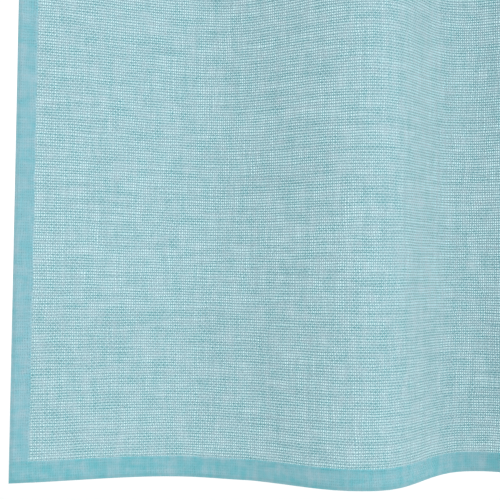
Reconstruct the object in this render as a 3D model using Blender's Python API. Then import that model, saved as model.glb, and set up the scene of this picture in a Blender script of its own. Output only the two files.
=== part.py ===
"""A sheer curtain panel: one hemmed sheet of open-weave cloth, hanging from its heading in soft,
uneven folds.

The frame has its origin at the middle of the heading. +X runs along the heading, +Z points up
and the front of the curtain faces -Y. Lengths are in metres, and in millimetres in the fold
table.
"""

import math
from collections import namedtuple

import bmesh
import bpy
import numpy as np

MM = 0.001

# Flat finished cloth
CLOTH_WIDTH = 1.400
DROP = 2.500
SIDE_HEM = 0.0084
END_HEM = 0.0096

# Thickness of the sheet, and what one turned hem adds behind it
SHEET_THICK = 0.0010
HEM_EXTRA = 0.0010
HEM_STEP = 0.0004

# How far up the hem still spreads, and how slowly the folds drift towards the heading
SPREAD_HEIGHT = 0.12
DRIFT_HEIGHT = 0.90

# The side hems are drawn up a little, so that the lower corners hang higher than the middle
CORNER_LIFT = 0.0020
CORNER_LIFT_WIDTH = 0.130

# Spacing of the mesh
COLUMN_SPACING = 0.0115
ROW_HEIGHTS = (0.05, 0.10, 0.17, 0.26, 0.40, 0.60, 0.85, 1.15, 1.50, 1.85, 2.20)
SAMPLES_PER_FLANK = 40

CLOTH_COLOUR = (0.23, 0.50, 0.57, 1.0)
CLOTH_ROUGHNESS = 0.9

# A row for each crest and trough, from the left side hem to the right one, in millimetres.
# x: place across the curtain; out: how far it stands forward of the deepest fold line;
# spread, swell: what the hem adds to x and out; lean, fade: what the heading adds to them;
# crisp: 0 for a soft flank towards the next row, 1 for a steep one; crease: how sharply the
# cloth turns into that flank at this row, or out of it at the next one where negative.
Fold = namedtuple("Fold", "x out spread swell lean fade crisp crease")
FOLDS = (
    Fold(0, 31, 0, -2.5, 24, 0, 0.0, 0.5),
    Fold(98, 3.5, -19, 3.5, 6, -2, 0.0, -0.5),
    Fold(109, 7, 0, 5.5, 6, 0, 0.0, 0.6),
    Fold(164, 34, -4.5, 0.5, 0, 3, 1.2, 0),
    Fold(212, 0.5, 11.5, -9, 2, -2, 0.0, 0),
    Fold(284, 32, -4, -4, 8, 6, 0.3, 0),
    Fold(344, -4, 5, -2, 4, -5, 0.2, 0),
    Fold(425, 43, 4, 2, -9, -4, 0.9, 0),
    Fold(488, -12, 2, -1, -4, 3, 0.2, 0),
    Fold(534, 9, -5, 2, 6, 18, 0.0, 0),
    Fold(592, -5, 3, -1, 10, -9, 0.3, 0),
    Fold(672, 33, 6, 2, -2, 2, 0.0, 0),
    Fold(770, -8, -5, -2, -12, -3, 0.5, 0),
    Fold(832, 38, -3, 3, -6, 3, 0.8, 0),
    Fold(886, -3, 6, 0, -2, -6, 0.1, 0),
    Fold(934, 15, 2, 3, -7, 14, 0.0, 0),
    Fold(1002, -10, -6, -2, -10, 1, 0.5, 0),
    Fold(1076, 41, 4, 1, -6, -3, 0.4, 0),
    Fold(1142, -2, 3, -1, -10, 3, 0.1, 0),
    Fold(1194, 17, 3, -1, -18, -4, 0.0, 0),
)

# The heading's middle, seen in the fold table's own x and out
HEADING_MIDDLE_X = (FOLDS[0].x + FOLDS[0].lean + FOLDS[-1].x + FOLDS[-1].lean) / 2 * MM
HEADING_MIDDLE_OUT = 0.015


def ease(t, crisp=0.0, crease=0.0):
    """Share of the way from one fold line to the next: flat at both ends, but for a crease."""
    soft = t * t * (3 - 2 * t)
    steep = t**3 * (10 - 15 * t + 6 * t * t)
    bent = np.sin(math.pi / 2 * t) if crease > 0 else 1 - np.cos(math.pi / 2 * t)
    return soft + crisp * (steep - soft) + abs(crease) * (bent - soft)


def section(height):
    """The cloth's line seen from above at a height over the bottom hem, from side to side:
    distance along the cloth, x and y."""
    spread = math.exp(-height / SPREAD_HEIGHT)
    drift = 1 - math.exp(-height / DRIFT_HEIGHT)
    lines = [
        (f.x + f.spread * spread + f.lean * drift, f.out + f.swell * spread + f.fade * drift)
        for f in FOLDS
    ]
    t = np.linspace(0, 1, SAMPLES_PER_FLANK, endpoint=False)
    xs = [x0 + (x1 - x0) * t for (x0, _), (x1, _) in zip(lines, lines[1:])]
    outs = [
        out0 + (out1 - out0) * ease(t, fold.crisp, fold.crease)
        for fold, (_, out0), (_, out1) in zip(FOLDS, lines, lines[1:])
    ]
    x = np.append(np.concatenate(xs), lines[-1][0]) * MM - HEADING_MIDDLE_X
    y = HEADING_MIDDLE_OUT - np.append(np.concatenate(outs), lines[-1][1]) * MM
    along = np.concatenate(([0], np.cumsum(np.hypot(np.diff(x), np.diff(y)))))
    return along * CLOTH_WIDTH / along[-1], x, y


def corner_lift(across, height):
    """How much higher the cloth hangs near a side hem, most at the bottom."""
    from_side = min(across, CLOTH_WIDTH - across)
    near = max(0.0, 1 - from_side / CORNER_LIFT_WIDTH)
    return CORNER_LIFT * ease(near) * (1 - height / DROP)


def columns():
    """Distances along the cloth of the mesh's columns, with a step at each side hem."""
    count = round((CLOTH_WIDTH - 2 * SIDE_HEM) / COLUMN_SPACING)
    inner = np.linspace(SIDE_HEM + HEM_STEP, CLOTH_WIDTH - SIDE_HEM - HEM_STEP, count)
    return [0, SIDE_HEM, *inner, CLOTH_WIDTH - SIDE_HEM, CLOTH_WIDTH]


def rows():
    """Heights of the mesh's rows, with a step at the bottom hem and at the top one."""
    low = [0, END_HEM, END_HEM + HEM_STEP]
    return low + list(ROW_HEIGHTS) + [DROP - height for height in reversed(low)]


def thickness(across, height):
    """The sheet's thickness, which each turned hem adds to."""
    side = across <= SIDE_HEM or across >= CLOTH_WIDTH - SIDE_HEM
    end = height <= END_HEM or height >= DROP - END_HEM
    return SHEET_THICK + HEM_EXTRA * side + HEM_EXTRA * end


def sheet_points():
    """Front and back points of the sheet, each as a list of rows from the bottom up."""
    front, back = [], []
    for height in rows():
        along, x, y = section(height)
        dx = np.gradient(x, along)
        dy = np.gradient(y, along)
        front_row, back_row = [], []
        for across in columns():
            px, py = np.interp(across, along, x), np.interp(across, along, y)
            tx, ty = np.interp(across, along, dx), np.interp(across, along, dy)
            size = math.hypot(tx, ty)
            behind = thickness(across, height)
            z = height - DROP + corner_lift(across, height)
            front_row.append((px, py, z))
            back_row.append((px - ty / size * behind, py + tx / size * behind, z))
        front.append(front_row)
        back.append(back_row)
    return front, back


def cloth_material():
    material = bpy.data.materials.new("sheer_cloth")
    material.use_nodes = True
    shader = material.node_tree.nodes["Principled BSDF"]
    shader.inputs["Base Color"].default_value = CLOTH_COLOUR
    shader.inputs["Roughness"].default_value = CLOTH_ROUGHNESS
    shader.inputs["Metallic"].default_value = 0.0
    return material


def make_panel():
    """The whole panel as one closed sheet: its front, its back and the edge all round."""
    front, back = sheet_points()
    mesh = bmesh.new()
    f = [[mesh.verts.new(point) for point in row] for row in front]
    b = [[mesh.verts.new(point) for point in row] for row in back]
    last_row, last_column = len(f) - 1, len(f[0]) - 1
    for i in range(last_row):
        for j in range(last_column):
            mesh.faces.new((f[i][j], f[i][j + 1], f[i + 1][j + 1], f[i + 1][j]))
            mesh.faces.new((b[i][j], b[i + 1][j], b[i + 1][j + 1], b[i][j + 1]))
        mesh.faces.new((f[i][0], f[i + 1][0], b[i + 1][0], b[i][0]))
        j = last_column
        mesh.faces.new((f[i][j], b[i][j], b[i + 1][j], f[i + 1][j]))
    for j in range(last_column):
        mesh.faces.new((f[0][j], b[0][j], b[0][j + 1], f[0][j + 1]))
        i = last_row
        mesh.faces.new((f[i][j], f[i][j + 1], b[i][j + 1], b[i][j]))
    bmesh.ops.triangulate(mesh, faces=mesh.faces)
    data = bpy.data.meshes.new("sheer_panel")
    mesh.to_mesh(data)
    mesh.free()
    data.shade_smooth()
    data.set_sharp_from_angle(angle=math.radians(40))
    data.materials.append(cloth_material())
    panel = bpy.data.objects.new("sheer_panel", data)
    bpy.context.scene.collection.objects.link(panel)
    return panel


for old in list(bpy.data.objects):
    bpy.data.objects.remove(old, do_unlink=True)
make_panel()
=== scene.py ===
"""A sheer curtain panel: one hemmed sheet of slub voile, hanging from its heading in soft folds.

The frame has its origin at the middle of the heading. +X runs along the heading, +Z points up
and the front of the curtain faces -Y. Lengths are in metres, and in millimetres in the tables.
"""

import math
from collections import namedtuple

import bmesh
import bpy
import numpy as np
from bpy.props import FloatProperty, FloatVectorProperty, IntProperty, PointerProperty
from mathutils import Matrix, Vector, noise

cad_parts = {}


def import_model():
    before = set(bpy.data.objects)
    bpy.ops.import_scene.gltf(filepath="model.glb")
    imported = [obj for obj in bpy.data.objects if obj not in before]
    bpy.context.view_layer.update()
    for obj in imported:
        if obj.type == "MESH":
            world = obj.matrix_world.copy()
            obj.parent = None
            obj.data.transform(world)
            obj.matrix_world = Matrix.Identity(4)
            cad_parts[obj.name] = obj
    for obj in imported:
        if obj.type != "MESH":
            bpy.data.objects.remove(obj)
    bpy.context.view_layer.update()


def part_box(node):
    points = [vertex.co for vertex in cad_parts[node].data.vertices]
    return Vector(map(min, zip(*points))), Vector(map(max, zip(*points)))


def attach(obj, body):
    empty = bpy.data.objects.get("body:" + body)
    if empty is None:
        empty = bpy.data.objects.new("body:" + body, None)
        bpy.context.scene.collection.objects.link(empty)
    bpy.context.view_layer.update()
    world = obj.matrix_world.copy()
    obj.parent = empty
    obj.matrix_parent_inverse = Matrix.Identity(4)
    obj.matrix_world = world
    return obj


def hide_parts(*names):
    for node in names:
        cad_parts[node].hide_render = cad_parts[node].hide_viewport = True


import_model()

bl_info = {
    "name": "Sheer curtain",
    "version": (1, 0, 0),
    "blender": (4, 5, 0),
    "location": "3D View > Sidebar > Curtain",
    "description": "Hangs a sheer curtain panel of slub voile with turned and stitched hems",
    "category": "Object",
}

MM = 0.001
PANEL = "sheer_panel"
BODY = "root"
PANEL_LOW, PANEL_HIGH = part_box(PANEL)
DROP = PANEL_HIGH[2] - PANEL_LOW[2]

# How far up the hem still spreads, and how slowly the folds drift towards the heading
SPREAD_HEIGHT = 0.12
DRIFT_HEIGHT = 0.90
SAMPLES_PER_FLANK = 60

# The side hems are drawn up a little, so that the lower corners hang higher than the middle
CORNER_LIFT = 0.0020
CORNER_LIFT_WIDTH = 0.130

# A turned hem: cloth that its bends take up, how far they bulge, and its raw edge inside
OUTER_BEND = 0.00018
INNER_BEND = 0.00009
OUTER_TAKE = 0.00010
INNER_TAKE = 0.00010
RAW_EDGE_GAP = 0.0008
LAYER_STEPS = 2
BEND_STEPS = 3

# The cloth lies this far forward where a hem fills it out, with a soft shoulder beside the
# hem, and its colour goes over to the plain cloth's on the shoulder's first part
HEM_RISE = 0.00025
HEM_SHOULDER = 0.0022
HEM_EDGE = 0.0006

# Mesh spacing, closer near the bottom hem and across the tight bend and the steep flank
COLUMN_STEP = 0.0066
CLOSE_STEP = 0.0028
CLOSE_ACROSS = (0.104, 0.122, 0.186, 0.248)
LOW_ROW_STEP = 0.0080
LOW_ROWS_END = 0.280
HIGH_ROW_STEP = 0.0195
STITCH_LINE_STEP = 0.0050

# A row for each crest and trough, from the left side hem to the right one, in millimetres.
# x: place across the curtain; out: how far it stands forward of the deepest fold line;
# spread, swell: what the hem adds to x and out; lean, fade: what the heading adds to them;
# crisp: 0 for a soft flank towards the next row, 1 for a steep one; crease: how sharply the
# cloth turns into that flank at this row, or out of it at the next one where negative.
Fold = namedtuple("Fold", "x out spread swell lean fade crisp crease")
FOLDS = (
    Fold(0, 31, 0, -2.5, 24, 0, 0.0, 0.5),
    Fold(98, 3.5, -19, 3.5, 6, -2, 0.0, -0.5),
    Fold(109, 7, 0, 5.5, 6, 0, 0.0, 0.6),
    Fold(164, 34, -4.5, 0.5, 0, 3, 1.2, 0),
    Fold(212, 0.5, 11.5, -9, 2, -2, 0.0, 0),
    Fold(284, 32, -4, -4, 8, 6, 0.3, 0),
    Fold(344, -4, 5, -2, 4, -5, 0.2, 0),
    Fold(425, 43, 4, 2, -9, -4, 0.9, 0),
    Fold(488, -12, 2, -1, -4, 3, 0.2, 0),
    Fold(534, 9, -5, 2, 6, 18, 0.0, 0),
    Fold(592, -5, 3, -1, 10, -9, 0.3, 0),
    Fold(672, 33, 6, 2, -2, 2, 0.0, 0),
    Fold(770, -8, -5, -2, -12, -3, 0.5, 0),
    Fold(832, 38, -3, 3, -6, 3, 0.8, 0),
    Fold(886, -3, 6, 0, -2, -6, 0.1, 0),
    Fold(934, 15, 2, 3, -7, 14, 0.0, 0),
    Fold(1002, -10, -6, -2, -10, 1, 0.5, 0),
    Fold(1076, 41, 4, 1, -6, -3, 0.4, 0),
    Fold(1142, -2, 3, -1, -10, 3, 0.1, 0),
    Fold(1194, 17, 3, -1, -18, -4, 0.0, 0),
)
HEADING_MIDDLE_X = (FOLDS[0].x + FOLDS[0].lean + FOLDS[-1].x + FOLDS[-1].lean) / 2 * MM
HEADING_MIDDLE_OUT = 0.015

# Soft creases, given in millimetres: the middle's place across the cloth and its
# height over the hem, the crease's length and width, how far it stands forward and the lean
# of its line to the right of upright, in degrees.
Crease = namedtuple("Crease", "across height length width forward lean")
CREASES = (
    Crease(60, 70, 120, 14, 0.5, 12),
    Crease(118, 40, 90, 10, -0.4, -14),
    Crease(170, 190, 160, 12, 0.5, 6),
    Crease(430, 260, 340, 16, 1.1, 4),
    Crease(560, 90, 150, 11, -0.9, -8),
    Crease(705, 420, 460, 18, 1.2, -3),
    Crease(860, 130, 220, 13, -1.0, 5),
    Crease(1010, 650, 520, 20, 1.3, 2),
    Crease(1190, 210, 260, 14, 0.9, -6),
    Crease(1330, 520, 380, 17, -1.1, 3),
    Crease(120, 1500, 700, 18, 1.2, 2),
    Crease(330, 1900, 520, 15, -1.2, -3),
    Crease(640, 1650, 640, 19, 1.3, 1),
    Crease(900, 1950, 480, 16, 1.1, -2),
    Crease(1120, 1750, 560, 18, -1.2, 2),
)

# Faint unevenness of the whole cloth: size of the swells and how far they stand
SWELL_SIZE = 0.045
SWELL_HEIGHT = 0.0006

# A set of parallel yarns. slub: how much a yarn's width varies along it; longest: length of
# its longest slubs, in metres; stray: how far it strays, as a share of its room; crowding: how
# far yarns crowd together, in pitches; seed: picks the unevenness.
Yarns = namedtuple("Yarns", "slub longest stray crowding seed")
WARP = Yarns(0.22, 0.010, 0.4, 0.55, 11.3)
WEFT = Yarns(0.19, 0.020, 0.4, 0.12, 29.1)

# Yarns are read this far apart in the noise, so that each has a part of it to itself, and the
# weft is numbered from here on, well past the last yarn of the warp
YARN_STEP = 7.0
FIRST_WEFT = 5000.0

# Width and length in metres of the streaks in which the cloth is denser, and of its dye's
DENSE_STREAK = (0.004, 0.040)
DYE_STREAK = (0.004, 0.014)

# Share of the light on a yarn that comes through from behind
THROUGH_LIGHT = 0.12

# The soft key light, which stands on the right and is aimed at the lower part
KEY_PLACE = (2.6, -1.9, -0.9)
KEY_AIM = (-0.2, 0, -1.6)
KEY_SIZE = 1.8

# The camera is level, 0.46 m in front of the deepest fold and 97.9 mm over the hem. Its
# sensor is in millimetres, and its shift in widths of the sensor.
CAMERA_PLACE = (-0.4903, -0.445, -DROP + 0.0979)
CAMERA_SHIFT = 0.0452
SENSOR_WIDTH = 36.0

# How far the floor reaches to each side
FLOOR_REACH = 9.0

Station = namedtuple("Station", "cloth place stage")


def linear(code):
    """The linear colour of an sRGB hex code."""
    parts = [int(code[i : i + 2], 16) / 255 for i in (1, 3, 5)]
    return tuple(c / 12.92 if c <= 0.04045 else ((c + 0.055) / 1.055) ** 2.4 for c in parts)


class CurtainCloth(bpy.types.PropertyGroup):
    """Sizes of the cut and hemmed cloth."""

    width: FloatProperty(
        name="Width", description="Hemmed width, laid flat", default=1.400, unit="LENGTH"
    )
    side_hem: FloatProperty(
        name="Side hem", description="Width of the double-turned hems at the sides",
        default=0.0084, unit="LENGTH", precision=4,
    )
    end_hem: FloatProperty(
        name="End hem", description="Width of the double-turned hems at the bottom and the top",
        default=0.0096, unit="LENGTH", precision=4,
    )
    layer: FloatProperty(
        name="Layer", description="Room that one layer of cloth takes in a hem",
        default=0.00018, unit="LENGTH", precision=5,
    )
    gauge: FloatProperty(
        name="Gauge", description="Thickness of the cloth itself", default=0.00003,
        unit="LENGTH", precision=5,
    )


class CurtainWeave(bpy.types.PropertyGroup):
    """Yarns and dye of the voile."""

    warp_pitch: FloatProperty(
        name="Warp pitch", description="Distance from one upright yarn to the next",
        default=0.00100, unit="LENGTH", precision=5,
    )
    weft_pitch: FloatProperty(
        name="Weft pitch", description="Distance from one level yarn to the next",
        default=0.00125, unit="LENGTH", precision=5,
    )
    warp_yarn: FloatProperty(
        name="Warp yarn", description="Width of an upright yarn", default=0.00060,
        unit="LENGTH", precision=5,
    )
    weft_yarn: FloatProperty(
        name="Weft yarn", description="Width of a level yarn", default=0.00061,
        unit="LENGTH", precision=5,
    )
    cloud: FloatProperty(
        name="Cloud", description="How much the cloth is denser in some places",
        default=0.09, subtype="FACTOR", min=0, max=1,
    )
    flattening: FloatProperty(
        name="Flattening", description="How much wider the yarns of a pressed hem are",
        default=0.50, subtype="FACTOR", min=0, max=1,
    )
    warp_colour: FloatVectorProperty(
        name="Warp", description="Colour of the upright yarns",
        default=linear("#94C6CD"), subtype="COLOR", min=0, max=1,
    )
    # Painted shade: the weft is the same dyed yarn as the warp, given a darker colour as shade on
    # the level yarns
    weft_shaded_colour: FloatVectorProperty(
        name="Weft", description="Colour of the level yarns", default=linear("#71A8B1"),
        subtype="COLOR", min=0, max=1,
    )
    # Painted light: the hems' yarn is given lighter, fuller colours than the single cloth's, in
    # place of light that the stacked layers pass to each other
    side_hem_lit_colour: FloatVectorProperty(
        name="Side hems", description="Colour of the yarn where the layers of a side hem fill it",
        default=linear("#81C3CF"), subtype="COLOR", min=0, max=1,
    )
    end_hem_lit_colour: FloatVectorProperty(
        name="End hems", description="Colour of the yarn where the layers of an end hem fill it",
        default=linear("#6FBFCA"), subtype="COLOR", min=0, max=1,
    )
    faded_colour: FloatVectorProperty(
        name="Faded yarn", description="Colour of the yarn where it took least dye",
        default=linear("#C0CFDA"), subtype="COLOR", min=0, max=1,
    )
    fading: FloatProperty(
        name="Fading", description="Most of the faded colour that shows anywhere",
        default=0.44, subtype="FACTOR", min=0, max=1,
    )
    fuzz_colour: FloatVectorProperty(
        name="Fuzz", description="Tint that loose fibres give to the gaps",
        default=linear("#E9FAFC"), subtype="COLOR", min=0, max=1,
    )
    # Painted shade: this share darkens a yarn's colour towards its flanks, where the yarns shade
    # each other
    flank: FloatProperty(
        name="Flank", description="Share of its colour that a yarn loses on its flanks",
        default=0.20, subtype="FACTOR", min=0, max=1,
    )
    # Painted shade on a hem's outer fold where this is negative, painted highlight where positive
    edge: FloatProperty(
        name="Edge", description="Brightness that a hem's outer fold adds, less where negative",
        default=-0.12, subtype="FACTOR", min=-1, max=1,
    )


class CurtainStitches(bpy.types.PropertyGroup):
    """The machine stitching along the hems."""

    inset: FloatProperty(
        name="Inset", description="From the hem's inner edge to the stitching",
        default=0.0012, unit="LENGTH", precision=5,
    )
    pitch: FloatProperty(
        name="Pitch", description="Distance from one stitch to the next", default=0.0030,
        unit="LENGTH", precision=5,
    )
    thread: FloatProperty(
        name="Thread", description="Diameter of the sewing thread", default=0.00022,
        unit="LENGTH", precision=5,
    )
    seed: IntProperty(name="Seed", description="Picks the unevenness", default=7, min=0)
    colour: FloatVectorProperty(
        name="Thread colour", description="Colour of the sewing thread",
        default=linear("#8FC3CE"), subtype="COLOR", min=0, max=1,
    )


class CurtainStage(bpy.types.PropertyGroup):
    """The floor, the light and the camera."""

    clearance: FloatProperty(
        name="Clearance", description="From the floor up to the hem", default=0.280,
        unit="LENGTH",
    )
    floor_colour: FloatVectorProperty(
        name="Floor", description="Colour of the pale floor", default=linear("#F9F9F8"),
        subtype="COLOR", min=0, max=1,
    )
    surround: FloatProperty(
        name="Surround", description="Brightness of the white surround", default=1.1, min=0
    )
    key: FloatProperty(
        name="Key", description="Power of the soft light on the right", default=40.0,
        unit="POWER", min=0,
    )
    lens: FloatProperty(
        name="Lens", description="Focal length of the camera, in millimetres", default=68.4
    )


def add(tree, kind, inputs=None, **settings):
    """Adds a node with its settings. An input is a value, a socket, or a node, which gives
    its first output."""
    made = tree.nodes.new(kind)
    for name, value in settings.items():
        setattr(made, name, value)
    for key, value in (inputs or {}).items():
        if isinstance(value, bpy.types.Node):
            value = value.outputs[0]
        if isinstance(value, bpy.types.NodeSocket):
            tree.links.new(value, made.inputs[key])
        else:
            made.inputs[key].default_value = value
    return made


def new_material(name):
    """An empty node material, its tree and its output node."""
    material = bpy.data.materials.new(name)
    material.use_nodes = True
    tree = material.node_tree
    tree.nodes.clear()
    return material, tree, add(tree, "ShaderNodeOutputMaterial")


def unevenness(tree, place, across, along, amount, detail=0.0, keep=0.5):
    """Smooth unevenness between -amount and amount, whose swells are about `across` by `along`
    in the units of the place it is read at. Each step of detail adds swells half as large,
    which keep that share of the strength."""
    at = add(
        tree, "ShaderNodeVectorMath", {0: place, 1: (1 / across, 1 / along, 1.0)},
        operation="MULTIPLY",
    )
    swells = add(
        tree, "ShaderNodeTexNoise",
        {"Vector": at, "Scale": 1.0, "Detail": detail, "Roughness": keep},
    )
    # The noise stays nearer to its middle the more of it is added up
    reach = 0.25 / (1 + 0.25 * detail)
    return add(
        tree, "ShaderNodeMapRange",
        {0: swells.outputs["Fac"], 1: 0.5 - reach, 2: 0.5 + reach, 3: -amount, 4: amount},
    )


def yarn_streaks(tree, place, streak, amount, detail, keep):
    """Unevenness in streaks along both sets of yarns, of the width and length given."""
    width, length = streak
    upright = unevenness(tree, place, width, length, amount, detail, keep)
    level = unevenness(tree, place, length, width, amount, detail, keep)
    return add(tree, "ShaderNodeMath", {0: upright, 1: level}, operation="ADD")


def parallel_yarns(tree, across, along, pitch, width, yarns, denser):
    """One set of parallel yarns, from the place across and along them: each yarn's number, a
    mask of where the yarns are and how round they stand there."""
    pitches = add(tree, "ShaderNodeMath", {0: across, 1: pitch}, operation="DIVIDE")
    crossing = add(tree, "ShaderNodeCombineXYZ", {0: pitches, 1: along, 2: yarns.seed})
    crowding = unevenness(tree, crossing, 10.0, 0.014, yarns.crowding, detail=1.0)
    shifted = add(tree, "ShaderNodeMath", {0: pitches, 1: crowding}, operation="ADD")
    number = add(tree, "ShaderNodeMath", {0: shifted}, operation="FLOOR")
    offset = add(tree, "ShaderNodeMath", {0: shifted}, operation="FRACT")
    lane = add(tree, "ShaderNodeMath", {0: number, 1: YARN_STEP}, operation="MULTIPLY")
    on_yarn = add(tree, "ShaderNodeCombineXYZ", {0: lane, 1: along, 2: yarns.seed + 3.7})
    slubs = unevenness(tree, on_yarn, 1.0, yarns.longest, yarns.slub, detail=4.0, keep=0.85)
    # Some yarns are thicker or thinner over a long way
    heavier = unevenness(tree, on_yarn, 1.0, 0.080, yarns.slub / 2)
    swollen = add(tree, "ShaderNodeMath", {0: slubs, 1: denser}, operation="ADD")
    swollen = add(tree, "ShaderNodeMath", {0: swollen, 1: heavier}, operation="ADD")
    half = add(
        tree, "ShaderNodeMath", {0: swollen, 1: width / pitch / 2}, operation="MULTIPLY"
    )
    # A yarn strays within the room that it has
    beside = add(tree, "ShaderNodeCombineXYZ", {0: lane, 1: along, 2: yarns.seed + 8.1})
    stray = unevenness(tree, beside, 1.0, 0.020, yarns.stray, detail=2.0)
    room = add(tree, "ShaderNodeMath", {0: 0.5, 1: half}, operation="SUBTRACT", use_clamp=True)
    strayed = add(tree, "ShaderNodeMath", {0: stray, 1: room, 2: 0.5}, operation="MULTIPLY_ADD")
    middle = add(tree, "ShaderNodeMath", {0: offset, 1: strayed}, operation="SUBTRACT")
    away = add(tree, "ShaderNodeMath", {0: middle}, operation="ABSOLUTE")
    share = add(tree, "ShaderNodeMath", {0: away, 1: half}, operation="DIVIDE")
    mask = add(tree, "ShaderNodeMath", {0: share, 1: 1.0}, operation="LESS_THAN")
    squared = add(tree, "ShaderNodeMath", {0: share, 1: 2.0}, operation="POWER")
    fall = add(
        tree, "ShaderNodeMath", {0: 1.0, 1: squared}, operation="SUBTRACT", use_clamp=True
    )
    round_top = add(tree, "ShaderNodeMath", {0: fall}, operation="SQRT")
    return number, mask, round_top


def voile_material(weave):
    """Polyester voile in plain weave with slub yarns, piece-dyed pale turquoise. Spun slub yarn
    gives the eye uneven threads with open gaps between them, a matt face with a faint sheen,
    and a glow where light comes through from behind."""
    material, tree, output = new_material("slub_voile_piece_dyed")
    place = add(tree, "ShaderNodeSeparateXYZ", {0: add(tree, "ShaderNodeUVMap", uv_map="cut")})
    u, v = place.outputs[0], place.outputs[1]
    on_cloth = add(tree, "ShaderNodeCombineXYZ", {0: u, 1: v})
    clouds = yarn_streaks(tree, on_cloth, DENSE_STREAK, weave.cloud * 0.7, 1.0, 0.7)
    hem, end, fold = (
        add(tree, "ShaderNodeAttribute", attribute_name=name).outputs["Fac"]
        for name in ("hem", "end", "fold")
    )
    # Pressing flattens a hem's yarns, which fills its gaps
    flattened = add(
        tree, "ShaderNodeMath", {0: hem, 1: weave.flattening, 2: 1.0}, operation="MULTIPLY_ADD"
    )
    denser = add(tree, "ShaderNodeMath", {0: clouds, 1: flattened}, operation="ADD")
    warp, warp_mask, warp_round = parallel_yarns(
        tree, u, v, weave.warp_pitch, weave.warp_yarn, WARP, denser
    )
    weft, weft_mask, weft_round = parallel_yarns(
        tree, v, u, weave.weft_pitch, weave.weft_yarn, WEFT, denser
    )
    # In plain weave the upper yarn changes at each crossing
    crossing = add(tree, "ShaderNodeMath", {0: warp, 1: weft}, operation="ADD")
    turn = add(tree, "ShaderNodeMath", {0: crossing, 1: 2.0}, operation="FLOORED_MODULO")
    no_weft = add(tree, "ShaderNodeMath", {0: 1.0, 1: weft_mask}, operation="SUBTRACT")
    shows = add(tree, "ShaderNodeMath", {0: turn, 1: no_weft}, operation="MAXIMUM")
    warp_on_top = add(tree, "ShaderNodeMath", {0: shows, 1: warp_mask}, operation="MULTIPLY")
    woven = add(tree, "ShaderNodeMath", {0: warp_mask, 1: weft_mask}, operation="MAXIMUM")
    relief = add(
        tree, "ShaderNodeMix", {0: warp_on_top, 2: weft_round, 3: warp_round}, data_type="FLOAT"
    )
    weft_number = add(tree, "ShaderNodeMath", {0: weft, 1: FIRST_WEFT}, operation="ADD")
    number = add(
        tree, "ShaderNodeMix", {0: warp_on_top, 2: weft_number, 3: warp}, data_type="FLOAT"
    )
    lane = add(tree, "ShaderNodeMath", {0: number, 1: YARN_STEP}, operation="MULTIPLY")
    along = add(tree, "ShaderNodeMix", {0: warp_on_top, 2: u, 3: v}, data_type="FLOAT")
    on_yarn = add(tree, "ShaderNodeCombineXYZ", {0: lane, 1: along})
    dye = unevenness(tree, on_yarn, 1.0, 0.012, 0.16, detail=1.0)
    # Painted shade and dye: the colour darkens from each yarn's round top to its flanks, and
    # differs at random along each yarn
    yarn_shade_and_dye = add(
        tree, "ShaderNodeMath", {0: relief, 1: 0.75, 2: dye}, operation="MULTIPLY_ADD",
        use_clamp=True,
    )
    # The outer fold of a hem is pressed, which shuts its gaps
    pressed = add(tree, "ShaderNodeMath", {0: fold, 1: 0.5}, operation="GREATER_THAN")
    yarn = add(tree, "ShaderNodeMath", {0: woven, 1: pressed}, operation="MAXIMUM")
    # Warp and weft take two colours of the one dye, the weft's darker as painted shade
    single = add(
        tree, "ShaderNodeMix",
        {0: warp_on_top, 6: (*weave.weft_shaded_colour, 1), 7: (*weave.warp_colour, 1)},
        data_type="RGBA",
    )
    # Painted light: where hem layers fill the yarn it takes a lighter colour, for light passed
    # between the layers
    hem_painted_light = add(
        tree, "ShaderNodeMix",
        {0: end, 6: (*weave.side_hem_lit_colour, 1), 7: (*weave.end_hem_lit_colour, 1)}, data_type="RGBA",
    )
    even = add(
        tree, "ShaderNodeMix", {0: hem, 6: single.outputs[2], 7: hem_painted_light.outputs[2]},
        data_type="RGBA",
    )
    # The dye took unevenly, in streaks about 1 to 4 mm wide
    patches = yarn_streaks(tree, on_cloth, DYE_STREAK, weave.fading * 0.36, 2.0, 0.7)
    fading = add(tree, "ShaderNodeMath", {0: patches, 1: weave.fading / 2}, operation="ADD")
    dyed = add(
        tree, "ShaderNodeMix",
        {0: fading, 6: even.outputs[2], 7: (*weave.faded_colour, 1)}, data_type="RGBA",
    )
    # Painted shade darkens the hem's outer fold, standing in for the light that comes through
    # less at the cloth's edge
    edge = add(
        tree, "ShaderNodeMath", {0: pressed, 1: weave.edge, 2: 1.0}, operation="MULTIPLY_ADD"
    )
    # The yarn's colour is scaled by painted shade, darkest on the yarns' flanks and on a hem's
    # outer fold
    brightness = add(tree, "ShaderNodeMapRange", {0: yarn_shade_and_dye, 3: 1 - weave.flank, 4: edge})
    colour = add(
        tree, "ShaderNodeVectorMath", {0: dyed.outputs[2], "Scale": brightness},
        operation="SCALE",
    )
    rough = unevenness(tree, on_yarn, 1.0, 0.004, 0.06)
    roughness = add(tree, "ShaderNodeMath", {0: rough, 1: 0.86}, operation="ADD")
    yarn_height = weave.weft_yarn / 2
    bump = add(
        tree, "ShaderNodeBump", {"Strength": 0.5, "Distance": yarn_height, "Height": relief}
    )
    surface = add(
        tree, "ShaderNodeBsdfPrincipled",
        {
            "Base Color": colour, "Roughness": roughness, "Normal": bump,
            "Specular IOR Level": 0.3, "Sheen Weight": 0.3, "Sheen Roughness": 0.5,
        },
    )
    glow = add(tree, "ShaderNodeBsdfTranslucent", {"Color": colour, "Normal": bump})
    thread = add(tree, "ShaderNodeMixShader", {0: THROUGH_LIGHT, 1: surface, 2: glow})
    # Loose fibres across the gaps tint what shows through them
    gap = add(tree, "ShaderNodeBsdfTransparent", {"Color": (*weave.fuzz_colour, 1)})
    cloth = add(tree, "ShaderNodeMixShader", {0: yarn, 1: gap, 2: thread})
    tree.links.new(cloth.outputs[0], output.inputs["Surface"])
    return material


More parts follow.
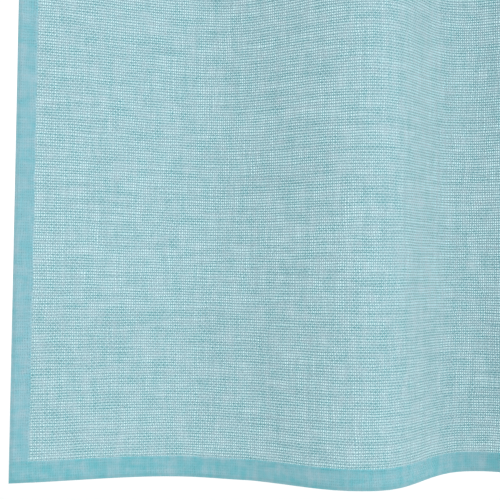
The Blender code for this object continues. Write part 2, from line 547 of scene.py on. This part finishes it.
def thread_material(stitches):
    """Spun polyester sewing thread in the cloth's own colour. Its fine twist gives the eye a
    soft matt line that hardly stands out from the hem."""
    material, tree, output = new_material("spun_polyester_thread")
    place = add(tree, "ShaderNodeTexCoord").outputs["Object"]
    # Fibre bundles about 0.3 mm long
    bundles = unevenness(tree, place, 0.0003, 0.0003, 0.12)
    colour = add(
        tree, "ShaderNodeMix",
        {
            0: add(tree, "ShaderNodeMath", {0: bundles, 1: 0.75}, operation="ADD"),
            6: (*linear("#6FA6B3"), 1), 7: (*stitches.colour, 1),
        },
        data_type="RGBA",
    )
    bump = add(tree, "ShaderNodeBump", {"Strength": 0.4, "Distance": 0.00005, "Height": bundles})
    roughness = add(tree, "ShaderNodeMath", {0: bundles, 1: 0.8}, operation="ADD")
    surface = add(
        tree, "ShaderNodeBsdfPrincipled",
        {
            "Base Color": colour.outputs[2], "Roughness": roughness, "Normal": bump,
            "Sheen Weight": 0.1,
        },
    )
    tree.links.new(surface.outputs[0], output.inputs["Surface"])
    return material


def floor_material(stage):
    """Matt painted floor: an even, pale ground with a faint roller texture."""
    material, tree, output = new_material("matt_floor_paint")
    place = add(tree, "ShaderNodeTexCoord").outputs["Object"]
    mottle = unevenness(tree, place, 0.004, 0.004, 0.5)
    bump = add(tree, "ShaderNodeBump", {"Strength": 0.1, "Distance": 0.0002, "Height": mottle})
    surface = add(
        tree, "ShaderNodeBsdfPrincipled",
        {
            "Base Color": (*stage.floor_colour, 1), "Roughness": 0.9, "Normal": bump,
            "Specular IOR Level": 0.2,
        },
    )
    tree.links.new(surface.outputs[0], output.inputs["Surface"])
    return material


def ease(t, crisp=0.0, crease=0.0):
    """Share of the way from one fold line to the next: flat at both ends, but for a crease."""
    soft = t * t * (3 - 2 * t)
    steep = t**3 * (10 - 15 * t + 6 * t * t)
    bent = np.sin(math.pi / 2 * t) if crease > 0 else 1 - np.cos(math.pi / 2 * t)
    return soft + crisp * (steep - soft) + abs(crease) * (bent - soft)


def section(height, width):
    """The cloth's line seen from above at a height over the bottom hem, from side to side:
    distance along the cloth, x and y."""
    spread = math.exp(-height / SPREAD_HEIGHT)
    drift = 1 - math.exp(-height / DRIFT_HEIGHT)
    lines = [
        (f.x + f.spread * spread + f.lean * drift, f.out + f.swell * spread + f.fade * drift)
        for f in FOLDS
    ]
    t = np.linspace(0, 1, SAMPLES_PER_FLANK, endpoint=False)
    xs = [x0 + (x1 - x0) * t for (x0, _), (x1, _) in zip(lines, lines[1:])]
    outs = [
        out0 + (out1 - out0) * ease(t, fold.crisp, fold.crease)
        for fold, (_, out0), (_, out1) in zip(FOLDS, lines, lines[1:])
    ]
    x = np.append(np.concatenate(xs), lines[-1][0]) * MM - HEADING_MIDDLE_X
    y = HEADING_MIDDLE_OUT - np.append(np.concatenate(outs), lines[-1][1]) * MM
    along = np.concatenate(([0], np.cumsum(np.hypot(np.diff(x), np.diff(y)))))
    return along * width / along[-1], x, y


def corner_lift(across, height, width):
    """How much higher the cloth hangs near a side hem, most at the bottom."""
    near = np.clip(1 - np.minimum(across, width - across) / CORNER_LIFT_WIDTH, 0, 1)
    return CORNER_LIFT * ease(near) * (1 - height / DROP)


def crease_relief(across, height):
    """How far the creases and the faint swells stand forward along a row of the cloth."""
    forward = np.zeros(len(across))
    for c in CREASES:
        lean = math.radians(c.lean)
        right, up = across - c.across * MM, height - c.height * MM
        aside = right * math.cos(lean) - up * math.sin(lean)
        along = right * math.sin(lean) + up * math.cos(lean)
        line = np.exp(-((aside / (c.width * MM)) ** 2))
        ends = np.exp(-((along / (c.length * MM / 2)) ** 4))
        forward += c.forward * MM * line * ends
    # The swells are longer upright than they are across
    swells = [noise.noise(Vector((a, height * 0.6, 0)) / SWELL_SIZE) for a in across]
    return forward + SWELL_HEIGHT * np.array(swells)


def beside_hem(place, length, hem):
    """1 in a hem, falling to 0 over a soft shoulder beside it."""
    inside = np.minimum(place, length - place) - hem
    return 1 - ease(np.clip(inside / HEM_SHOULDER, 0, 1))


def cloth_row(across, height, depth, cloth):
    """Points on a row of the cloth at depths behind its front, and which way is outward."""
    along, x, y = section(height, cloth.width)
    px, py = np.interp(across, along, x), np.interp(across, along, y)
    tx = np.interp(across, along, np.gradient(x, along))
    ty = np.interp(across, along, np.gradient(y, along))
    size = np.hypot(tx, ty)
    outward = np.stack([ty / size, -tx / size, np.zeros(len(px))], axis=1)
    filled = np.maximum(
        beside_hem(across, cloth.width, cloth.side_hem), beside_hem(height, DROP, cloth.end_hem)
    )
    forward = crease_relief(across, height) + HEM_RISE * filled - depth
    z = height - DROP + corner_lift(across, height, cloth.width)
    return np.stack([px, py, z], axis=1) + outward * forward[:, None], outward


def folded_depth(stage, depth, stack, layer):
    """Depth behind the front of a point in a turned hem. A stage of 0 is the front layer, 1 the
    back one and 2 the one between them; depth and stack are the point's depth and the whole
    thickness of what was turned."""
    front, back, between = depth, 3 * stack + 2 * layer - depth, stack + layer + depth
    if stage <= 1:
        return front + (back - front) * (1 - math.cos(math.pi * stage)) / 2
    return back + (between - back) * (1 - math.cos(math.pi * (stage - 1))) / 2


def turned_edge(hem):
    """Stations from the raw edge inside a hem to its outer fold: the place on the cut cloth,
    the place on the hemmed one and the stage of the turn."""
    turned = OUTER_TAKE + INNER_TAKE + 2 * hem
    edge = [
        Station(place - turned, place, 2.0)
        for place in np.linspace(RAW_EDGE_GAP, hem - INNER_BEND, LAYER_STEPS + 1)
    ]
    bend = [(i + 1) / (BEND_STEPS + 1) for i in range(BEND_STEPS)]
    for t in bend:
        cut = -hem - OUTER_TAKE - INNER_TAKE / 2 - (INNER_TAKE / 2 + INNER_BEND) * (1 - 2 * t)
        place = hem - INNER_BEND * (1 - math.sin(math.pi * t))
        edge.append(Station(cut, place, 2 - t))
    edge += [
        Station(-place - OUTER_TAKE, place, 1.0)
        for place in np.linspace(hem - INNER_BEND, OUTER_BEND, LAYER_STEPS + 1)
    ]
    for t in bend:
        cut = (OUTER_TAKE + OUTER_BEND) * (2 * t - 1)
        edge.append(Station(cut, OUTER_BEND * (1 - math.sin(math.pi * t)), 1 - t))
    return edge


def stations(length, hem, inner):
    """Stations across the whole cut cloth, from one raw edge to the other."""
    edge = turned_edge(hem)
    shoulder = [OUTER_BEND, hem * 0.35, hem * 0.7, hem, hem + HEM_EDGE, hem + HEM_SHOULDER / 2]
    front = shoulder + list(inner) + [length - place for place in reversed(shoulder)]
    far = [Station(length - s.cloth, length - s.place, s.stage) for s in reversed(edge)]
    return edge + [Station(OUTER_TAKE + p, p, 0.0) for p in front] + far


def in_hem(station, length, hem):
    """Whether a station has the look of a hem."""
    return min(station.place, length - station.place) <= hem + HEM_EDGE / 2


def on_fold(station, length):
    """Whether a station is on the outer fold of a hem, or right beside it in front."""
    return min(station.place, length - station.place) <= OUTER_BEND and station.stage <= 1


def cut_length(length, hem):
    """What a hemmed length was cut to."""
    edge = turned_edge(hem)
    return length - 2 * edge[0].cloth


def mesh_object(name, points, faces, material):
    """A smooth mesh of one material, in the scene."""
    data = bpy.data.meshes.new(name)
    data.from_pydata([tuple(p) for p in points], [], faces)
    data.shade_smooth()
    data.materials.append(material)
    made = bpy.data.objects.new(name, data)
    bpy.context.scene.collection.objects.link(made)
    return made


def hang_cloth(cloth, material):
    """The whole cloth as one sheet, with its hems turned twice to the back."""
    side = cloth.side_hem + HEM_SHOULDER
    breaks = (side, *CLOSE_ACROSS, cloth.width - side)
    inner = []
    for i, (start, end) in enumerate(zip(breaks, breaks[1:])):
        count = round((end - start) / (CLOSE_STEP if i % 2 else COLUMN_STEP))
        inner.extend(np.linspace(start, end, count, endpoint=False))
    columns = stations(cloth.width, cloth.side_hem, inner + [breaks[-1]])
    low = cloth.end_hem + HEM_SHOULDER
    low_count = round((LOW_ROWS_END - low) / LOW_ROW_STEP)
    high_count = round((DROP - low - LOW_ROWS_END) / HIGH_ROW_STEP)
    heights = np.concatenate([
        np.linspace(low, LOW_ROWS_END, low_count, endpoint=False),
        np.linspace(LOW_ROWS_END, DROP - low, high_count),
    ])
    rows = stations(DROP, cloth.end_hem, heights)
    across = np.array([s.place for s in columns])
    side_depth = np.array([folded_depth(s.stage, 0, 0, cloth.layer) for s in columns])
    stack = 2 * cloth.layer * beside_hem(across, cloth.width, cloth.side_hem)
    points = []
    for row in rows:
        depth = folded_depth(row.stage, side_depth, stack, cloth.layer)
        points.extend(cloth_row(across, row.place, depth, cloth)[0])
    wide = len(columns)
    faces = [
        (k, k + 1, k + wide + 1, k + wide)
        for i in range(len(rows) - 1)
        for k in range(i * wide, (i + 1) * wide - 1)
    ]
    made = mesh_object("sheer_curtain", points, faces, material)
    cut = [(column.cloth, row.cloth) for row in rows for column in columns]
    corners = np.zeros(len(made.data.loops), dtype=np.int32)
    made.data.loops.foreach_get("vertex_index", corners)
    layer = made.data.uv_layers.new(name="cut")
    layer.uv.foreach_set("vector", np.array(cut)[corners].ravel())
    side_hems = np.array([in_hem(s, cloth.width, cloth.side_hem) for s in columns])
    end_hems = np.array([in_hem(s, DROP, cloth.end_hem) for s in rows])
    folds = (
        np.array([on_fold(s, DROP) for s in rows]),
        np.array([on_fold(s, cloth.width) for s in columns]),
    )
    for name, shares in (
        ("hem", np.logical_or.outer(end_hems, side_hems)),
        ("end", np.logical_or.outer(end_hems, np.zeros(wide, dtype=bool))),
        ("fold", np.logical_or.outer(*folds)),
    ):
        made.data.attributes.new(name, "FLOAT", "POINT").data.foreach_set(
            "value", shares.ravel().astype(np.float32)
        )
    gauge = made.modifiers.new("gauge", "SOLIDIFY")
    gauge.thickness, gauge.offset = cloth.gauge, -1.0
    return made


def stitch_line(name, cloth, inset, depth_at, side):
    """The line of the stitching round the panel, with the outward direction at each point."""
    left, low = cloth.side_hem - inset, cloth.end_hem - inset
    right, top = cloth.width - left, DROP - low
    level = np.linspace(left, right, round((right - left) / STITCH_LINE_STEP))
    upright = np.linspace(low, top, round((top - low) / STITCH_LINE_STEP))
    route = [(a, low) for a in level] + [(right, h) for h in upright[1:]]
    route += [(a, top) for a in level[::-1][1:]] + [(left, h) for h in upright[::-1][1:-1]]
    points, outward = [], []
    for a, h in route:
        across = np.array([a])
        point, out = cloth_row(across, h, depth_at(a, h), cloth)
        points.append(tuple(point[0]))
        outward.extend(out[0] * side)
    data = bpy.data.meshes.new(name)
    data.from_pydata(points, [(i, (i + 1) % len(points)) for i in range(len(points))], [])
    data.attributes.new("outward", "FLOAT_VECTOR", "POINT").data.foreach_set("vector", outward)
    made = bpy.data.objects.new(name, data)
    bpy.context.scene.collection.objects.link(made)
    return made


def stitch_tree():
    """Geometry Nodes that sew a row of stitches along a line of edges: each stitch is a short
    arc of thread that dips into the cloth at both ends."""
    tree = bpy.data.node_groups.new("stitch_row", "GeometryNodeTree")
    face = tree.interface
    face.new_socket("Line", in_out="INPUT", socket_type="NodeSocketGeometry")
    for name in ("Pitch", "Thread"):
        face.new_socket(name, in_out="INPUT", socket_type="NodeSocketFloat")
    face.new_socket("Seed", in_out="INPUT", socket_type="NodeSocketInt")
    face.new_socket("Finish", in_out="INPUT", socket_type="NodeSocketMaterial")
    face.new_socket("Stitches", in_out="OUTPUT", socket_type="NodeSocketGeometry")
    given = add(tree, "NodeGroupInput")
    line = add(tree, "GeometryNodeMeshToCurve", {"Mesh": given.outputs["Line"]})
    spaced = add(
        tree, "GeometryNodeResampleCurve", {"Curve": line, "Length": given.outputs["Pitch"]},
        mode="LENGTH",
    )
    outward = add(
        tree, "GeometryNodeInputNamedAttribute", {"Name": "outward"}, data_type="FLOAT_VECTOR"
    )
    forward = add(
        tree, "FunctionNodeAlignRotationToVector",
        {"Vector": add(tree, "GeometryNodeInputTangent")}, axis="X",
    )
    upright = add(
        tree, "FunctionNodeAlignRotationToVector",
        {"Rotation": forward, "Vector": outward}, axis="Z", pivot_axis="X",
    )
    # Each stitch leans up to 3 degrees and differs by up to a tenth in size
    lean = add(
        tree, "FunctionNodeRandomValue",
        {0: (0, 0, -0.05), 1: (0, 0, 0.05), "Seed": given.outputs["Seed"]},
        data_type="FLOAT_VECTOR",
    )
    leaned = add(
        tree, "FunctionNodeRotateRotation", {"Rotation": upright, "Rotate By": lean},
        rotation_space="LOCAL",
    )
    size = add(
        tree, "FunctionNodeRandomValue",
        {2: 0.9, 3: 1.1, "Seed": given.outputs["Seed"]}, data_type="FLOAT",
    )
    end = add(
        tree, "ShaderNodeMath", {0: given.outputs["Pitch"], 1: 0.44}, operation="MULTIPLY"
    )
    start = add(tree, "ShaderNodeMath", {0: end, 1: -1.0}, operation="MULTIPLY")
    sunk = add(
        tree, "ShaderNodeMath", {0: given.outputs["Thread"], 1: -0.9}, operation="MULTIPLY"
    )
    arc = add(
        tree, "GeometryNodeCurveQuadraticBezier",
        {
            "Resolution": 4,
            "Start": add(tree, "ShaderNodeCombineXYZ", {0: start, 2: sunk}),
            "Middle": add(tree, "ShaderNodeCombineXYZ", {2: given.outputs["Thread"]}),
            "End": add(tree, "ShaderNodeCombineXYZ", {0: end, 2: sunk}),
        },
    )
    radius = add(
        tree, "ShaderNodeMath", {0: given.outputs["Thread"], 1: 0.5}, operation="MULTIPLY"
    )
    ring = add(tree, "GeometryNodeCurvePrimitiveCircle", {"Resolution": 5, "Radius": radius})
    stitch = add(
        tree, "GeometryNodeCurveToMesh",
        {"Curve": arc, "Profile Curve": ring, "Fill Caps": True},
    )
    sewn = add(
        tree, "GeometryNodeInstanceOnPoints",
        {"Points": spaced, "Instance": stitch, "Rotation": leaned, "Scale": size.outputs[1]},
    )
    real = add(tree, "GeometryNodeRealizeInstances", {0: sewn})
    finished = add(
        tree, "GeometryNodeSetMaterial", {0: real, "Material": given.outputs["Finish"]}
    )
    add(tree, "NodeGroupOutput", {0: finished})
    return tree


def sew(name, line, tree, stitches, material):
    """Runs the stitch tree on a line and keeps the result as a plain mesh."""
    row = line.modifiers.new("stitches", "NODES")
    row.node_group = tree
    values = {
        "Pitch": stitches.pitch, "Thread": stitches.thread, "Seed": stitches.seed,
        "Finish": material,
    }
    for item in tree.interface.items_tree:
        if item.name in values:
            row[item.identifier] = values[item.name]
    shown = line.evaluated_get(bpy.context.evaluated_depsgraph_get())
    data = bpy.data.meshes.new_from_object(shown)
    line.modifiers.remove(row)
    data.name = name
    data.shade_smooth()
    made = bpy.data.objects.new(name, data)
    bpy.context.scene.collection.objects.link(made)
    bpy.data.objects.remove(line, do_unlink=True)
    return made


class CURTAIN_OT_cloth(bpy.types.Operator):
    """Hangs the cloth, with its turned hems, on the folds of the panel"""

    bl_idname = "curtain.make_cloth"
    bl_label = "Make the cloth"

    def execute(self, context):
        cloth = context.scene.curtain_cloth
        made = hang_cloth(cloth, voile_material(context.scene.curtain_weave))
        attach(made, BODY)
        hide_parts(PANEL)
        return {"FINISHED"}


class CURTAIN_OT_stitches(bpy.types.Operator):
    """Sews the hems, with the needle thread in front and the bobbin thread behind"""

    bl_idname = "curtain.make_stitches"
    bl_label = "Sew the hems"

    def execute(self, context):
        scene = context.scene
        cloth, stitches = scene.curtain_cloth, scene.curtain_stitches
        material, tree = thread_material(stitches), stitch_tree()
        proud = stitches.thread * 0.25

        def behind(across, height):
            """Depth of the hem's back, which is thicker where two hems cross."""
            side = beside_hem(np.array([across]), cloth.width, cloth.side_hem)
            level = beside_hem(height, DROP, cloth.end_hem)
            stack = 2 * cloth.layer * side
            return stack + (2 * stack + 2 * cloth.layer) * level + proud

        def before(across, height):
            return -np.array([proud])

        for name, depth_at, side in (
            ("hem_stitches_front", before, 1), ("hem_stitches_back", behind, -1)
        ):
            line = stitch_line(name + "_line", cloth, stitches.inset, depth_at, side)
            made = sew(name, line, tree, stitches, material)
            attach(made, BODY)
        bpy.data.node_groups.remove(tree)
        flat = (cut_length(cloth.width, cloth.side_hem), cut_length(DROP, cloth.end_hem))
        return {"FINISHED"}


class CURTAIN_OT_stage(bpy.types.Operator):
    """Sets the pale floor, the white surround, the soft light and the camera"""

    bl_idname = "curtain.make_stage"
    bl_label = "Set the stage"

    def execute(self, context):
        scene = context.scene
        stage = scene.curtain_stage
        ground = -DROP - stage.clearance
        shape = bmesh.new()
        bmesh.ops.create_grid(shape, x_segments=8, y_segments=8, size=FLOOR_REACH)
        bmesh.ops.translate(shape, verts=shape.verts, vec=(0, 0, ground))
        data = bpy.data.meshes.new("floor")
        shape.to_mesh(data)
        shape.free()
        data.materials.append(floor_material(stage))
        floor = bpy.data.objects.new("floor", data)
        scene.collection.objects.link(floor)

        world = bpy.data.worlds.new("white_surround")
        world.use_nodes = True
        world.node_tree.nodes.clear()
        sky = add(
            world.node_tree, "ShaderNodeBackground", {0: (1, 1, 1, 1), 1: stage.surround}
        )
        add(world.node_tree, "ShaderNodeOutputWorld", {0: sky})
        scene.world = world

        lamp = bpy.data.lights.new("soft_key", "AREA")
        lamp.shape, lamp.size, lamp.energy = "SQUARE", KEY_SIZE, stage.key
        key = bpy.data.objects.new("soft_key", lamp)
        key.location = KEY_PLACE
        aim = Vector(KEY_AIM) - key.location
        key.rotation_euler = aim.to_track_quat("-Z", "Y").to_euler()
        scene.collection.objects.link(key)

        view = bpy.data.cameras.new("camera")
        view.lens, view.sensor_width, view.shift_y = stage.lens, SENSOR_WIDTH, CAMERA_SHIFT
        camera = bpy.data.objects.new("camera", view)
        camera.location = CAMERA_PLACE
        camera.rotation_euler = (math.pi / 2, 0, 0)
        scene.collection.objects.link(camera)
        scene.camera = camera
        scene.view_settings.view_transform = "Standard"
        scene.cycles.transparent_max_bounces = 32
        # With its guides left unfiltered, the denoiser keeps a weave as fine as this
        scene.cycles.denoising_prefilter = "NONE"
        return {"FINISHED"}


class CURTAIN_PT_panel(bpy.types.Panel):
    """Lists what the curtain is made of"""

    bl_label = "Sheer curtain"
    bl_idname = "CURTAIN_PT_panel"
    bl_space_type = "VIEW_3D"
    bl_region_type = "UI"
    bl_category = "Curtain"

    def draw(self, context):
        layout, scene = self.layout, context.scene
        for group, operators in (
            (scene.curtain_cloth, ()),
            (scene.curtain_weave, (CURTAIN_OT_cloth,)),
            (scene.curtain_stitches, (CURTAIN_OT_stitches,)),
            (scene.curtain_stage, (CURTAIN_OT_stage,)),
        ):
            box = layout.box()
            for name in group.bl_rna.properties.keys():
                if name not in ("rna_type", "name"):
                    box.prop(group, name)
            for operator in operators:
                box.operator(operator.bl_idname)


CLASSES = (
    CurtainCloth, CurtainWeave, CurtainStitches, CurtainStage, CURTAIN_OT_cloth,
    CURTAIN_OT_stitches, CURTAIN_OT_stage, CURTAIN_PT_panel,
)


def register():
    for kind in CLASSES:
        bpy.utils.register_class(kind)
    bpy.types.Scene.curtain_cloth = PointerProperty(type=CurtainCloth)
    bpy.types.Scene.curtain_weave = PointerProperty(type=CurtainWeave)
    bpy.types.Scene.curtain_stitches = PointerProperty(type=CurtainStitches)
    bpy.types.Scene.curtain_stage = PointerProperty(type=CurtainStage)


def unregister():
    for name in ("curtain_stage", "curtain_stitches", "curtain_weave", "curtain_cloth"):
        delattr(bpy.types.Scene, name)
    for kind in reversed(CLASSES):
        bpy.utils.unregister_class(kind)


def main():
    register()
    bpy.ops.curtain.make_stage()
    bpy.ops.curtain.make_cloth()
    bpy.ops.curtain.make_stitches()


if __name__ == "__main__":
    main()
